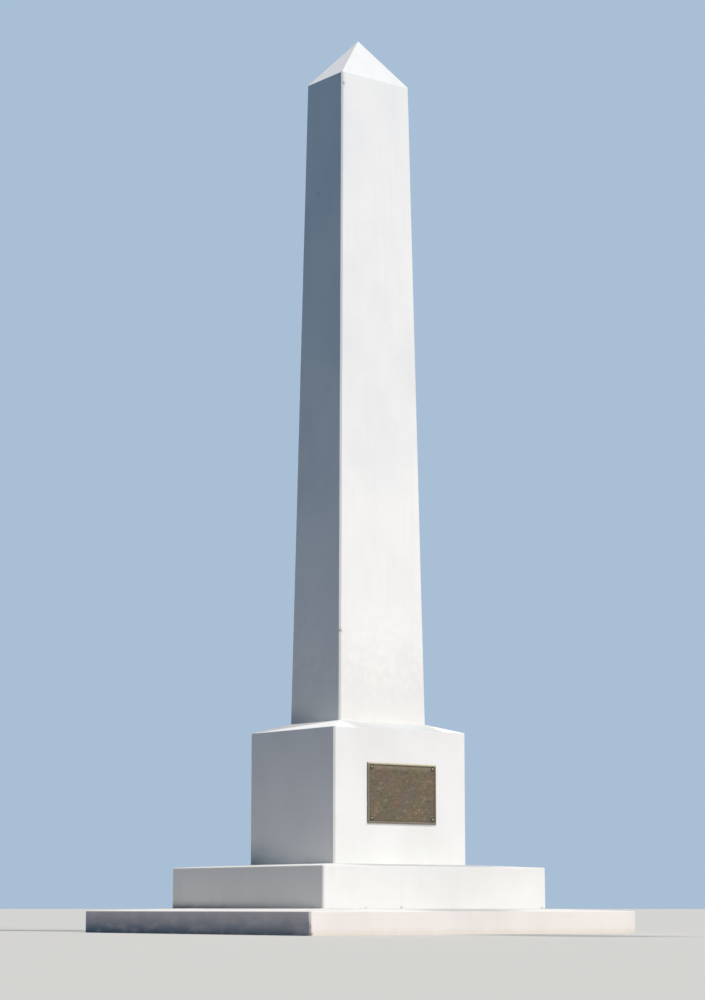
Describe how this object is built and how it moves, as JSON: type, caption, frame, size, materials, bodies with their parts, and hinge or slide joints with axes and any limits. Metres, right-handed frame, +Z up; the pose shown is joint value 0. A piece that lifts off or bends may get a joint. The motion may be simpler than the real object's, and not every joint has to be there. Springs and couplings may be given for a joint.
{
  "type": "obelisk",
  "caption": "Tapering rectangular obelisk with a pyramid point on a plain die and two hipped steps, with a blank rimmed bronze plaque on the front.",
  "frame": {"origin": "centre of the underside of the lower step, at ground level", "axes": "+Z up through the point, -Y out of the front face that carries the plaque, +X to the right as seen from the front"},
  "size_m": [4.509, 4.187, 10.36],
  "materials": {
    "painted_concrete": "matt white masonry paint over board-marked cast concrete",
    "bronze": "cast bronze with a dull brown-olive patina"
  },
  "bodies": {
    "root": {"lower_step": "painted_concrete", "upper_step": "painted_concrete", "die": "painted_concrete", "shaft_lift_1": "painted_concrete", "shaft_lift_2": "painted_concrete", "shaft_lift_3": "painted_concrete", "shaft_lift_4": "painted_concrete", "pyramidion": "painted_concrete", "plaque": "bronze", "rosette_top_left": "bronze", "rosette_top_right": "bronze", "rosette_bottom_left": "bronze", "rosette_bottom_right": "bronze"}
  },
  "joints": []
}
